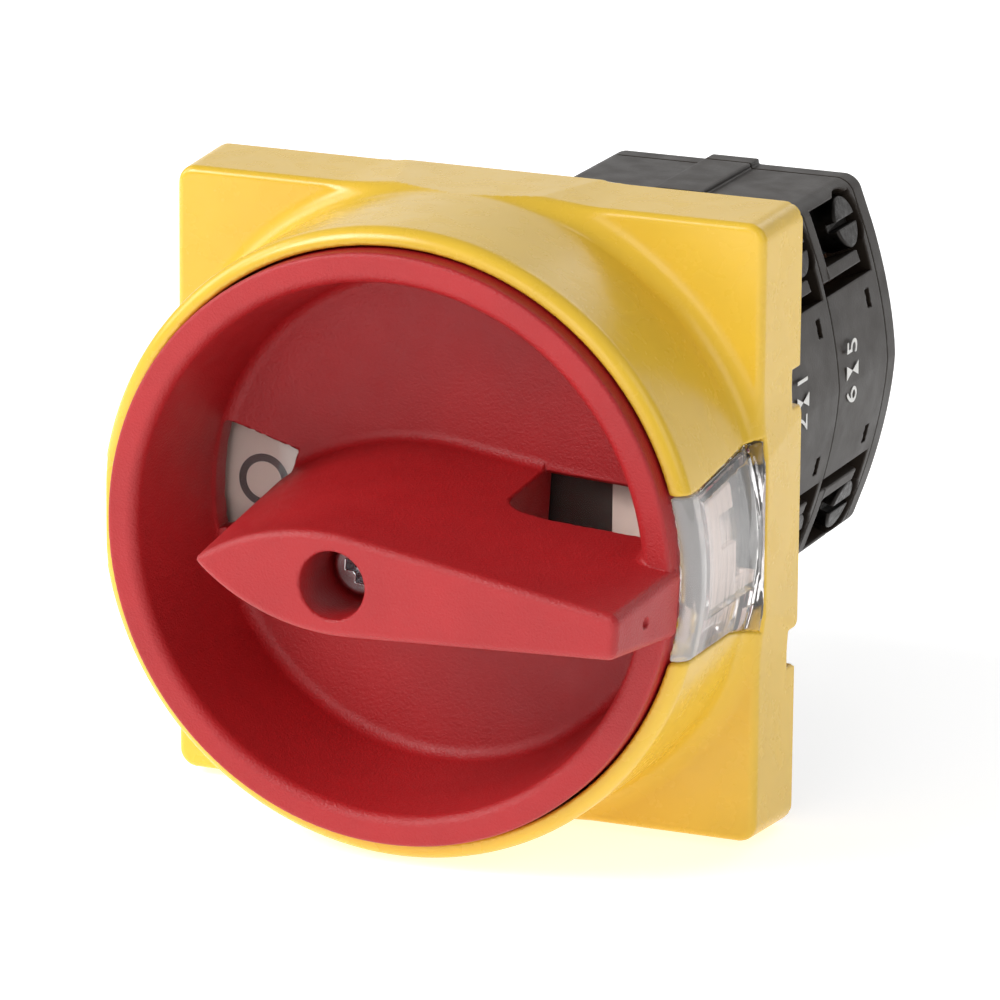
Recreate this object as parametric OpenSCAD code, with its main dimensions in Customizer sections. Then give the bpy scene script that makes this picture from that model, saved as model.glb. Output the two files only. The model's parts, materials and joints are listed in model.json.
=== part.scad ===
// Panel-mounted rotary isolator switch with a red handle on a yellow plate.
// Front faces -Y, +X is right, +Z is up.  The shaft axis is the Y axis and the
// origin is where it crosses the front face of the panel (back of the plate).

/* [Front plate] */
// Side of the square yellow plate
plate_w = 66; // [64:0.5:68]
// Depth of the plate from its front face to the panel
plate_d = 10; // [9.6:0.1:10.4]
// Outer radius of the round collar
collar_r = 33.4; // [33.2:0.1:34]
// Distance of the collar's front edge from the panel
collar_front = 28.6; // [28.2:0.1:29]
// Wall of the plate
plate_wall = 2.2; // [2:0.1:2.4]
// Corner radius of the plate
plate_corner = 2; // [1:0.5:5]

/* [Handle] */
// Outer radius of the handle's rim
rim_r = 31.3; // [31:0.1:31.5]
// Distance of the rim's front face from the panel
rim_front = 30.7; // [30.4:0.1:31.5]
// Radius of the dish floor
floor_r = 26.2; // [25.5:0.1:26.4]
// Distance of the dish floor from the panel
floor_front = 14.7; // [14.6:0.1:15.2]
// Distance of the grip's front face from the panel
grip_front = 43.9; // [42:0.1:46]
// Widest half width of the grip's front face
grip_half_w = 5.35; // [5.2:0.05:6]
// Half width of the grip's front face at its square end
grip_end_half_w = 2.3; // [2:0.1:3]
// Radius of the screw hole in the grip
grip_hole_r = 3.55; // [3.5:0.05:3.8]
// Angle by which the handle stands past its OFF mark
rest_turn = 3.5; // [0:0.5:10]

/* [Switch body] */
// Half width of the body's top and bottom faces
body_top_hw = 14.6; // [14:0.1:15]
// Half height of the body
body_hh = 20.3; // [20:0.1:21]
// Half width of the body across its sides
body_side_hw = 19.5; // [19.4:0.1:20]
// Half height of the flat side faces
body_side_hh = 7; // [6.5:0.1:7.5]
// Room left for the panel between plate and body
panel_gap = 4.5; // [1:0.5:5]
// Length of one contact unit
unit_l = 15.5; // [15.5:0.1:17]
// Travel of a contact carrier over a quarter turn
stroke = 2.5; // [2:0.1:2.5]

/* [Fixings] */
// Spacing of the four panel screws
screw_pitch = 36; // [35:0.5:37]
// Radius of the panel screws
screw_r = 1.95; // [1.8:0.05:1.95]

/* [Hidden] */
$fn = 96;
eps = 0.01;
// Front and back of the legend's upright tab
tab_front = -23.3;
tab_back = -15.7;
// Lug of the base behind the side opening: half height and outer face
lug_hh = 7.4;
lug_x = 32.2;
lug_front = -9.4;
lug_back = -5;
turn_range = 90;
rest_slide = stroke * rest_turn / turn_range;

// stations along the axis, from the panel backwards
flange_y = panel_gap;
latch_y = flange_y + 14;
unit1_y = latch_y + unit_l;
unit2_y = unit1_y + unit_l;
cover_y = unit2_y + unit_l;
body_end = cover_y + 3;

// square shaft and the running fits on it
shaft_w = 5;
socket_w = shaft_w + 0.1;
hub_r = 6.42;
hub_bore_r = 6.5;
bearing_r = 6.22;
bearing_bore_r = 6.3;

// front stack
ledge_y = -(plate_d - plate_wall);
base_back = -1;
legend_back = -plate_d;
legend_front = legend_back - 0.8;
cover_back = legend_front - 0.1;
cover_front = -12.3;
hub_hole_r = 6.9;
collar_bore_r = 31.8;
collar_round = 1.5;
dish_back = -12.7;

// slanted terminal faces
slant_len = norm([body_side_hw - body_top_hw, body_hh - body_side_hh]);
slant_angle = atan2(body_hh - body_side_hh, body_side_hw - body_top_hw);
pocket_s0 = 1;
pocket_s1 = 10.4;
pocket_depth = 6;
screw_s = 4.1;
screw_dy = 11.6;

// moving contacts, for the right-hand side with the switch fully off
cam_hi = 7.2;
cam_lo = cam_hi - stroke;
carrier_y = 8;
cavity_wall_x = 18.2;
tie_z = 16.8;
button_z = 5.7;
button_r = 1.3;

// ---------------------------------------------------------------- helpers

// extrudes a section drawn in X and Z from y0 to y1
module along_y(y0, y1) {
    translate([0, y1, 0]) rotate([90, 0, 0]) linear_extrude(y1 - y0) children();
}

// extrudes a section drawn in Y and Z from x0 to x1
module along_x(x0, x1) {
    translate([x0, 0, 0]) rotate([90, 0, 90]) linear_extrude(x1 - x0) children();
}

// revolves a profile drawn as [radius, y] about the shaft axis
module turned() {
    rotate([-90, 0, 0]) rotate_extrude() children();
}

// cylinder along the shaft axis direction
module rod_y(r, y0, y1) {
    translate([0, y0, 0]) rotate([-90, 0, 0]) cylinder(r = r, h = y1 - y0);
}

// cylinder along X
module rod_x(r, x0, x1) {
    translate([x0, 0, 0]) rotate([0, 90, 0]) cylinder(r = r, h = x1 - x0);
}

// block between two corners
module block(a, b) {
    translate(a) cube(b - a);
}

module rounded_square(w, r) {
    square([w - 2 * r, w], center = true);
    square([w, w - 2 * r], center = true);
    for (sx = [-1, 1], sz = [-1, 1]) translate([sx * (w / 2 - r), sz * (w / 2 - r)]) circle(r);
}

// turns a part of the rotor from the OFF mark to its rest place
module at_rest() {
    rotate([0, rest_turn, 0]) children();
}

// frame on the upper right slanted face: X down the face, Z out of it
module on_slant(y) {
    translate([body_top_hw, y, body_hh]) rotate([0, slant_angle, 0]) children();
}

module both_sides() {
    children();
    mirror([1, 0, 0]) children();
}

module four_corners() {
    for (up = [0, 1]) mirror([0, 0, up]) both_sides() children();
}

// outline of the grip, tip at tip_x, widest at wide_x, square end at end_x
function grip_points(tip_x, wide_x, wide_h, end_x, end_h, n = 16) = let (
    nose = [for (i = [0:n]) let (k = i / n)
        [tip_x + (wide_x - tip_x) * k, 0.5 + (wide_h - 0.5) * pow(sin(90 * k), 0.8)]],
    top = concat(nose, [[end_x, end_h]]))
    concat(top, [for (i = [len(top) - 1:-1:0]) [top[i][0], -top[i][1]]]);

module grip_slice(y, tip_x, wide_h, end_x, end_h) {
    along_y(y, y + 0.05) polygon(grip_points(tip_x, -0.5, wide_h, end_x, end_h));
}

// one closed coil spring along X from x0 to x1
function coil_path(r, x0, x1, turns, n) = [for (i = [0:n]) let (k = i / n, a = 360 * turns * k)
    [x0 + (x1 - x0) * k, r * cos(a), r * sin(a)]];

module coil_spring(r, wire_r, x0, x1, turns) {
    sides = 8;
    steps = 16 * turns;
    path = coil_path(r, x0 + wire_r, x1 - wire_r, turns, steps);
    ring_points = [for (i = [0:steps]) let (
        a = 360 * turns * i / steps,
        out = [0, cos(a), sin(a)],
        rise = (x1 - x0 - 2 * wire_r) / (2 * PI * r * turns),
        tangent = [rise, -sin(a), cos(a)] / norm([rise, 1]),
        across = cross(tangent, out))
        for (j = [0:sides - 1]) let (b = 360 * j / sides)
            path[i] + wire_r * (cos(b) * out + sin(b) * across)];
    walls = [for (i = [0:steps - 1], j = [0:sides - 1]) let (k = (j + 1) % sides)
        [i * sides + j, i * sides + k, (i + 1) * sides + k, (i + 1) * sides + j]];
    ends = [[for (j = [sides - 1:-1:0]) j], [for (j = [0:sides - 1]) steps * sides + j]];
    polyhedron(ring_points, concat(walls, ends), convexity = 10);
}

// ---------------------------------------------------------------- front plate

// side opening of the collar, drawn in Y and Z; grow moves every edge outwards
module collar_opening(grow) {
    polygon([[-collar_front - 1, 8.9 + grow], [-25, 8.9 + grow], [-9.6 + grow, 10.6 + grow],
        [-9.6 + grow, -10 - grow], [-16.4, -8.5 - grow], [-collar_front - 1, -8.5 - grow]]);
}

// rounded front of the collar as a list of [radius, y] points
function collar_nose() = [for (i = [0:6]) let (a = 15 * i)
    [collar_r - collar_round * (1 - cos(a)), -collar_front + collar_round * (1 - sin(a))]];

module front_plate() {
    color([0.93, 0.78, 0.22]) difference() {
        union() {
            along_y(-plate_d, 0) rounded_square(plate_w, plate_corner);
            turned() polygon(concat([[collar_bore_r - 1, -plate_d + 1], [collar_r + 0.2, -plate_d + 1]],
                collar_nose(), [[collar_bore_r, -collar_front], [collar_bore_r - 1, -collar_front]]));
        }
        rod_y(collar_bore_r, -collar_front - 1, -plate_d);
        rod_y(29.4, -collar_front, 1);
        along_y(ledge_y, 1) rounded_square(plate_w - 2 * plate_wall, plate_corner - plate_wall / 2);
        along_x(29, 36) collar_opening(0);
        // window behind the opening and the groove its lug slides in along
        block([28, -plate_d - 1, -lug_hh - 0.1], [lug_x + 0.1, 1, lug_hh + 0.1]);
        // shallow flat opposite the opening
        block([-36, -collar_front - 1, -5.8], [-collar_r + 0.8, -plate_d - 0.01, 5.8]);
        // pry notches in the rear edge
        for (sx = [-1, 1], sz = [-14, 14]) translate([sx * plate_w / 2, 0, sz])
            cube([2 * plate_wall + 1, 3.8, 4], center = true);
    }
    // snap lugs that hold the plate on the panel base
    color([0.93, 0.78, 0.22]) for (sx = [-1, 1], sz = [-1, 1])
        translate([sx * 8, -3.4, sz * (plate_w / 2 - plate_wall - 0.3)]) cube([6, 1.2, 1.4], center = true);
}

// ---------------------------------------------------------------- clear cover

module clear_cover() {
    color([0.85, 0.88, 0.9, 0.4]) difference() {
        union() {
            rod_y(31.4, cover_front, cover_back);
            difference() {
                rod_y(31.4, -24.4, cover_back);
                rod_y(29.6, -25, cover_front);
            }
            // block that fills the collar's side opening
            intersection() {
                along_x(29.7, 36) collar_opening(-0.1);
                turned() polygon(concat([[29.6, -9.7], [collar_r, -9.7]], collar_nose(),
                    [[collar_bore_r, -collar_front], [collar_bore_r, -24.4], [29.6, -24.4]]));
            }
        }
        rod_y(hub_hole_r, -30, 0);
        // hollow behind the window of the block, open to the back
        intersection() {
            block([28, -24, -4.8], [36, -9, 7.3]);
            difference() {
                rod_y(32.3, -24, -9);
                rod_y(30.8, -25, -8);
            }
        }
        block([29, -10.9, -6.6], [32.2, -9, 7.3]);
    }
}

// ---------------------------------------------------------------- legend

module legend_disc() {
    color([0.93, 0.91, 0.86]) difference() {
        union() {
            rod_y(30.4, legend_front, legend_back);
            // upright tab seen through the side window, on a short leg
            intersection() {
                union() {
                    block([28, tab_front, -4.4], [34, tab_back, 6.9]);
                    block([28, tab_back - 0.5, -4.4], [34, legend_back, -3.2]);
                }
                difference() {
                    rod_y(31.9, tab_front, legend_back);
                    rod_y(31.1, tab_front - 1, -8);
                }
            }
            // root of the leg
            intersection() {
                block([28, legend_front, -4.4], [34, legend_back, -3.2]);
                rod_y(31.9, legend_front, legend_back);
            }
        }
        rod_y(hub_hole_r, -20, 0);
        block([30.6, -19.6, 1.3], [34, tab_back + 1, 4.7]);
    }
}

// ---------------------------------------------------------------- panel base

module panel_base() {
    color([0.16, 0.15, 0.15]) difference() {
        union() {
            along_y(ledge_y, base_back) rounded_square(plate_w - 2 * plate_wall - 0.6, 1.5);
            rod_y(29.2, legend_back, ledge_y);
            // lug seen through the window of the front plate
            block([28, lug_front, -lug_hh], [lug_x, lug_back, lug_hh]);
        }
        rod_y(hub_bore_r, -12, 2);
        for (sx = [-1, 1], sz = [-1, 1]) translate([sx * screw_pitch / 2, 0, sz * screw_pitch / 2]) {
            rod_y(2.2, -12, 2);
            rod_y(4.2, -12, -5);
        }
        // grooves for the snap lugs
        for (sx = [-1, 1], sz = [-1, 1])
            translate([sx * 8, -3, sz * (plate_w / 2 - plate_wall)]) cube([6.6, 2.4, 2.6], center = true);
        // ring grooves that lighten the moulding
        difference() {
            rod_y(15.5, -8.4, -5.5 + 3);
            rod_y(9, -9, 0);
        }
    }
}

module panel_gasket() {
    color([0.1, 0.1, 0.1]) difference() {
        along_y(base_back, 0) rounded_square(60, 3);
        rod_y(9, -3, 2);
        for (sx = [-1, 1], sz = [-1, 1]) translate([sx * screw_pitch / 2, 0, sz * screw_pitch / 2])
            rod_y(2.4, -3, 2);
    }
}

module panel_screws() {
    color([0.75, 0.75, 0.77]) for (sx = [-1, 1], sz = [-1, 1])
        translate([sx * screw_pitch / 2, 0, sz * screw_pitch / 2]) difference() {
            union() {
                rod_y(screw_r - 0.25, -5.5, flange_y + 5);
                rod_y(screw_r, 0, flange_y);
                rod_y(3.6, -7.4, -5);
            }
            translate([0, -7.4, 0]) cube([8, 2, 1], center = true);
        }
}

// ---------------------------------------------------------------- handle and rotor

module grip() {
    hull() {
        grip_slice(-grip_front, -14.9, grip_half_w - 0.6, 29.7, grip_end_half_w - 0.5);
        grip_slice(-grip_front + 0.7, -15.6, grip_half_w, 30.5, grip_end_half_w);
        grip_slice(-29.2, -17.6, 6.6, 31.6, 3.7);
    }
    hull() {
        grip_slice(-29.3, -17.6, 6.6, 28.8, 3.8);
        grip_slice(-floor_front + 1, -19.6, 7.8, 27.1, 5.2);
    }
}

module handle() {
    wall = 1.7;
    color([0.72, 0.13, 0.16]) at_rest() difference() {
        union() {
            turned() polygon([[0, dish_back], [floor_r + wall - 0.5, dish_back],
                [floor_r + wall, dish_back - 0.8], [29.1, -25.2], [rim_r, -25.2],
                [rim_r, -rim_front + 0.5], [rim_r - 0.5, -rim_front], [28.9, -rim_front],
                [28.35, -rim_front + 0.3], [28.1, -rim_front + 0.9],
                [floor_r, -floor_front - 0.8], [floor_r - 0.6, -floor_front], [0, -floor_front]]);
            grip();
            rod_y(hub_r, -floor_front, -2);
        }
        // screw hole, seat and square socket
        rod_y(grip_hole_r, -grip_front - 1, -33.2);
        rod_y(2.2, -34, -31);
        translate([0, (-31.6 - 1) / 2, 0]) cube([socket_w, 30.6, socket_w], center = true);
        // hollow pointer side
        difference() {
            along_y(-grip_front + 2.6, -12) polygon(grip_points(-12.2, -0.5, grip_half_w - 1.6, 0, 3.5));
            rod_y(hub_r, -50, 0);
            block([-3, -50, -9], [3, 0, 9]);
        }
        // shackle tunnel through the grip, the dish floor and the dish wall
        translate([0, 0, -9]) linear_extrude(18) polygon([[10.7, -floor_front + eps], [10.7, -24.4],
            [11.4, -25.9], [12.8, -26.6], [16, -26.6], [24, -23.8], [27.2, -23.4], [27.2, -floor_front + eps]]);
        block([10.7, -23.4, -6.5], [30, -12, 6.5]);
        // legend window in the dish floor
        intersection() {
            difference() {
                rod_y(floor_r - 0.1, -floor_front - 1, -12);
                rod_y(17.6, -20, 0);
            }
            along_y(-20, 0) polygon([[0, 0], [-40, 40 * tan(13)], [-40, -40 * tan(13)]]);
        }
    }
}

module handle_washer() {
    color([0.78, 0.78, 0.8]) at_rest() difference() {
        rod_y(3.3, -33.8, -33.2);
        rod_y(2.1, -35, -32);
    }
}

module handle_screw() {
    color([0.82, 0.82, 0.84]) at_rest() difference() {
        union() {
            rod_y(3.2, -36.4, -33.8);
            rod_y(1.9, -34, -22);
        }
        for (a = [0, 90]) rotate([0, a, 0]) translate([0, -36.4, 0]) cube([4.4, 2.6, 0.9], center = true);
    }
}

module drive_shaft() {
    color([0.6, 0.6, 0.62]) at_rest() difference() {
        translate([0, (cover_y + 1 - 31) / 2, 0]) cube([shaft_w, cover_y + 1 + 31, shaft_w], center = true);
        rod_y(1.95, -32, -20);
    }
}

module square_socket(y0, y1) {
    translate([0, (y0 + y1) / 2, 0]) cube([socket_w, y1 - y0 + 2, socket_w], center = true);
}

module detent_cam() {
    square_y = latch_y + 2;
    lug_y = latch_y + 8;
    color([0.88, 0.86, 0.8]) at_rest() difference() {
        union() {
            rod_y(bearing_r, latch_y - 4, unit1_y - 0.2);
            intersection() {
                rod_y(10.6, square_y, square_y + 4.5);
                block([-8.5, square_y - 1, -8.5], [8.5, square_y + 6, 8.5]);
            }
            // two stop lugs
            intersection() {
                rod_y(12.8, lug_y, lug_y + 3.6);
                along_y(lug_y, lug_y + 3.6) for (a = [45, 225]) rotate(a)
                    polygon([[0, 0], [20, 20 * tan(9)], [20, -20 * tan(9)]]);
            }
        }
        square_socket(latch_y - 4, unit1_y);
    }
}

// two-lobed cam: the radius falls evenly over the working quarters
function cam_radius(a) = let (b = a % 180)
    b < 90 ? cam_hi - stroke * b / 90 : cam_lo + stroke * (b - 90) / 90;

module contact_cam(y0) {
    color([0.88, 0.86, 0.8]) at_rest() difference() {
        union() {
            along_y(y0 + 4.5, y0 + 11.5) polygon([for (a = [0:5:355]) cam_radius(a) * [cos(a), sin(a)]]);
            rod_y(cam_lo - 0.1, y0 + 0.1, y0 + unit_l - 0.4);
            rod_y(bearing_r, y0 + 12.3, y0 + unit_l - 0.1);
        }
        square_socket(y0, y0 + unit_l);
    }
}

module contact_cam_front() contact_cam(unit1_y);

module contact_cam_rear() contact_cam(unit2_y);

// ---------------------------------------------------------------- housings

function body_outline() = [[body_top_hw, body_hh], [body_side_hw, body_side_hh],
    [body_side_hw, -body_side_hh], [body_top_hw, -body_hh], [-body_top_hw, -body_hh],
    [-body_side_hw, -body_side_hh], [-body_side_hw, body_side_hh], [-body_top_hw, body_hh]];

module body_section(y0, y1) {
    along_y(y0, y1) polygon(body_outline());
    // ribs over the tie screws
    block([-2.9, y0, -body_hh - 0.6], [2.9, y1, body_hh + 0.6]);
}

module tie_holes(r) {
    for (sz = [-1, 1]) translate([0, 0, sz * tie_z]) rod_y(r, -1, body_end + 1);
}

module mounting_flange() {
    neck_y = flange_y + 4;
    color([0.15, 0.14, 0.14]) difference() {
        union() {
            along_y(flange_y, neck_y) rounded_square(45, 4);
            along_y(neck_y - 1, latch_y) scale([0.9, 0.9]) polygon(body_outline());
            body_section(latch_y - 4, latch_y);
        }
        rod_y(8.5, flange_y - 1, latch_y - 4);
        rod_y(bearing_bore_r, flange_y, latch_y + 1);
        tie_holes(1.8);
        for (sx = [-1, 1], sz = [-1, 1]) translate([sx * screw_pitch / 2, 0, sz * screw_pitch / 2])
            rod_y(screw_r - 0.2, flange_y - 1, latch_y - 3);
        // pockets for the tie nuts, open to the front
        for (sz = [-1, 1]) translate([0, 0, sz * tie_z]) rod_y(3.6, flange_y - 1, flange_y + 3.4);
    }
}

module latch_housing() {
    floor_y = unit1_y - 2.5;
    stop_y = latch_y + 7.6;
    color([0.15, 0.14, 0.14]) difference() {
        union() {
            difference() {
                body_section(latch_y, unit1_y);
                rod_y(13.2, latch_y - 1, floor_y);
                block([-12.7, latch_y - 1, -11.2], [12.7, latch_y + 7.2, 11.2]);
            }
            // stops for the detent cam's lugs
            intersection() {
                difference() {
                    rod_y(13.4, stop_y, floor_y + 1);
                    rod_y(10.9, stop_y - 1, floor_y + 2);
                }
                along_y(stop_y, floor_y + 1) for (a = [90, 270]) rotate(a)
                    polygon([[0, 0], [30, 30 * tan(35.4)], [30, -30 * tan(35.4)]]);
            }
        }
        rod_y(bearing_bore_r, latch_y, unit1_y + 1);
        tie_holes(1.8);
    }
}

module detent_springs() {
    mid = 9.05;
    end = 10.6;
    t = 0.5;
    bow = [for (i = [-6:6]) [2.1 * i, mid + (end - mid) * pow(abs(i) / 6, 2)]];
    color([0.8, 0.8, 0.82]) for (up = [0, 1]) mirror([0, 0, up])
        along_y(latch_y + 2.2, latch_y + 6.2)
            polygon(concat(bow, [for (i = [len(bow) - 1:-1:0]) bow[i] + [0, t]]));
}

module terminal_pocket(y0) {
    // screw and wire space behind the L-shaped barrier
    on_slant(y0 + 2.2) translate([pocket_s0, 0, -pocket_depth])
        cube([pocket_s1 - pocket_s0, unit_l - 2.2 + eps, pocket_depth + 1]);
    on_slant(y0) translate([pocket_s1 - 1.5, -eps, -2.5]) cube([1.5, 3, 4]);
}

module terminal_barrier(y0) {
    on_slant(y0 + 2) translate([7.4, 0, -pocket_depth + 1]) cube([1.5, 9.6, pocket_depth - 1]);
}

module contact_housing(y0) {
    floor_y = y0 + 13;
    mid_y = y0 + carrier_y;
    color([0.15, 0.14, 0.14]) difference() {
        union() {
            difference() {
                body_section(y0, y0 + unit_l);
                // cam room and the two contact rooms, open to the front
                rod_y(cam_hi + 0.5, y0 - 1, floor_y);
                both_sides() {
                    block([5, y0 - 1, -7.2], [cavity_wall_x, floor_y, 7.2]);
                    block([6.2, y0 - 1, -9.5], [8.9, floor_y, 9.5]);
                }
                four_corners() {
                    terminal_pocket(y0);
                    // slot for the fixed contact's strip
                    block([8.8, mid_y - 3.1, 8.2], [13.4, mid_y + 3.1, 9.4]);
                }
            }
            // guides of the carriers
            four_corners() block([12.4, y0 + 2, 2.5], [cavity_wall_x + 0.5, floor_y + 0.5, 3.4]);
            four_corners() terminal_barrier(y0);
        }
        rod_y(bearing_bore_r, floor_y - 1, y0 + unit_l + 1);
        tie_holes(1.8);
        // blind holes under the terminal screws
        four_corners() on_slant(y0 + screw_dy) translate([screw_s, 0, -pocket_depth - 2.4])
            cylinder(r = 1.75, h = 4);
    }
}

module contact_housing_front() contact_housing(unit1_y);

module contact_housing_rear() contact_housing(unit2_y);

module rear_cover() {
    color([0.15, 0.14, 0.14]) difference() {
        body_section(cover_y, body_end);
        rod_y(4.2, cover_y - 1, cover_y + 1.4);
        tie_holes(1.8);
        for (sz = [-1, 1]) translate([0, 0, sz * tie_z]) rod_y(3.3, cover_y + 1.2, body_end + 1);
    }
}

module tie_screws() {
    color([0.75, 0.75, 0.77]) for (sz = [-1, 1]) translate([0, 0, sz * tie_z]) difference() {
        union() {
            rod_y(1.7, flange_y + 0.6, cover_y + 2);
            rod_y(3.1, cover_y + 1.2, body_end - 0.1);
        }
        translate([0, body_end, 0]) cube([7, 1.6, 0.8], center = true);
    }
}

module tie_nuts() {
    color([0.75, 0.75, 0.77]) for (sz = [-1, 1]) translate([0, 0, sz * tie_z]) difference() {
        translate([0, flange_y + 1, 0]) rotate([-90, 30, 0]) cylinder(r = 3.5, h = 2.4, $fn = 6);
        rod_y(1.72, flange_y, flange_y + 5);
    }
}

// ---------------------------------------------------------------- terminals

// fixed contact of the upper right corner: terminal strip, leg and silver button
module fixed_contact(y0) {
    mid_y = y0 + carrier_y;
    difference() {
        on_slant(y0 + 3) translate([pocket_s0 + 0.3, 0, -pocket_depth])
            cube([pocket_s1 - pocket_s0 - 0.4, 12, 1]);
        on_slant(y0 + screw_dy) translate([screw_s, 0, -pocket_depth - 1]) cylinder(r = 1.75, h = 4);
    }
    block([6.5, mid_y - 3, 8.3], [12.9, mid_y + 3, 9.3]);
    block([6.5, mid_y - 3, 4.6], [7.4, mid_y + 3, 9.3]);
    translate([0, mid_y, button_z]) rod_x(button_r, 7.3, 7.85);
}

module fixed_contacts(y0, left) {
    color([0.85, 0.62, 0.4]) mirror([left, 0, 0]) for (up = [0, 1]) mirror([0, 0, up]) fixed_contact(y0);
}

module fixed_contacts_front_right() fixed_contacts(unit1_y, 0);

module fixed_contacts_front_left() fixed_contacts(unit1_y, 1);

module fixed_contacts_rear_right() fixed_contacts(unit2_y, 0);

module fixed_contacts_rear_left() fixed_contacts(unit2_y, 1);

module terminal_screws() {
    color([0.35, 0.34, 0.34]) for (y0 = [unit1_y, unit2_y]) four_corners()
        on_slant(y0 + screw_dy) translate([screw_s, 0, 0]) difference() {
            union() {
                translate([0, 0, -3.3]) cylinder(r = 3, h = 3);
                translate([0, 0, -pocket_depth - 2.2]) cylinder(r = 1.7, h = pocket_depth - 0.9);
            }
            translate([0, 0, -0.3]) cube([1, 8, 2.4], center = true);
        }
}

module clamp_plates() {
    color([0.7, 0.7, 0.72]) for (y0 = [unit1_y, unit2_y]) four_corners()
        on_slant(y0 + screw_dy) translate([screw_s, 0, -4.4]) difference() {
            translate([-3.1, -3.6, 0]) cube([5.8, 7.2, 1.1]);
            translate([0, 0, -1]) cylinder(r = 1.8, h = 4);
        }
}

// ---------------------------------------------------------------- moving contacts

// carrier of the right-hand side, slid inwards by the rest offset
module carrier(y0, left) {
    color([0.88, 0.86, 0.8]) mirror([left, 0, 0]) translate([-rest_slide, y0 + carrier_y, 0]) {
        translate([8.9, -3.5, 0]) rotate([-90, 0, 0]) cylinder(r = 1.5, h = 7);
        block([8.9, -3.5, -1.5], [9.8, 3.5, 1.5]);
        block([9.6, -4.1, -2.4], [11, 4.1, 2.4]);
        for (sy = [-1, 1]) translate([0, sy * 3.5, 0]) block([10.9, -0.6, -2.4], [15.1, 0.6, 2.4]);
        block([15, -4.1, -2.4], [15.9, 4.1, 2.4]);
    }
}

module bridge(y0, left) {
    color([0.85, 0.62, 0.4]) mirror([left, 0, 0]) translate([-rest_slide, y0 + carrier_y, 0]) {
        block([11, -2.7, -7], [12, 2.7, 7]);
        for (sz = [-1, 1]) translate([0, 0, sz * button_z]) rod_x(button_r, 10.5, 11.1);
    }
}

module contact_spring(y0, left) {
    color([0.8, 0.8, 0.82]) mirror([left, 0, 0]) translate([-rest_slide, y0 + carrier_y, 0])
        coil_spring(1.7, 0.22, 12, 15, 3);
}

module return_spring(y0, left) {
    color([0.8, 0.8, 0.82]) mirror([left, 0, 0]) translate([0, y0 + carrier_y, 0])
        coil_spring(1.7, 0.22, 15.9 - rest_slide, cavity_wall_x, 3);
}

module carrier_front_right() carrier(unit1_y, 0);

module carrier_front_left() carrier(unit1_y, 1);

module carrier_rear_right() carrier(unit2_y, 0);

module carrier_rear_left() carrier(unit2_y, 1);

module bridge_front_right() bridge(unit1_y, 0);

module bridge_front_left() bridge(unit1_y, 1);

module bridge_rear_right() bridge(unit2_y, 0);

module bridge_rear_left() bridge(unit2_y, 1);

module contact_spring_front_right() contact_spring(unit1_y, 0);

module contact_spring_front_left() contact_spring(unit1_y, 1);

module contact_spring_rear_right() contact_spring(unit2_y, 0);

module contact_spring_rear_left() contact_spring(unit2_y, 1);

module return_spring_front_right() return_spring(unit1_y, 0);

module return_spring_front_left() return_spring(unit1_y, 1);

module return_spring_rear_right() return_spring(unit2_y, 0);

module return_spring_rear_left() return_spring(unit2_y, 1);

front_plate();
clear_cover();
legend_disc();
panel_base();
panel_gasket();
panel_screws();
handle();
handle_screw();
handle_washer();
drive_shaft();
detent_cam();
contact_cam_front();
contact_cam_rear();
mounting_flange();
latch_housing();
detent_springs();
contact_housing_front();
contact_housing_rear();
rear_cover();
tie_screws();
tie_nuts();
fixed_contacts_front_right();
fixed_contacts_front_left();
fixed_contacts_rear_right();
fixed_contacts_rear_left();
terminal_screws();
clamp_plates();
carrier_front_right();
carrier_front_left();
carrier_rear_right();
carrier_rear_left();
bridge_front_right();
bridge_front_left();
bridge_rear_right();
bridge_rear_left();
contact_spring_front_right();
contact_spring_front_left();
contact_spring_rear_right();
contact_spring_rear_left();
return_spring_front_right();
return_spring_front_left();
return_spring_rear_right();
return_spring_rear_left();
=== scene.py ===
"""Looks of a panel-mounted rotary isolator switch.

The front faces -Y, +Z is up and the shaft is the Y axis.  Outer shapes are written as distance
fields in millimetres (negative inside), which give true fillets, and are meshed by surface nets.
"""
import json
import math

import bpy
import numpy as np
from mathutils import Matrix, Vector


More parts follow.
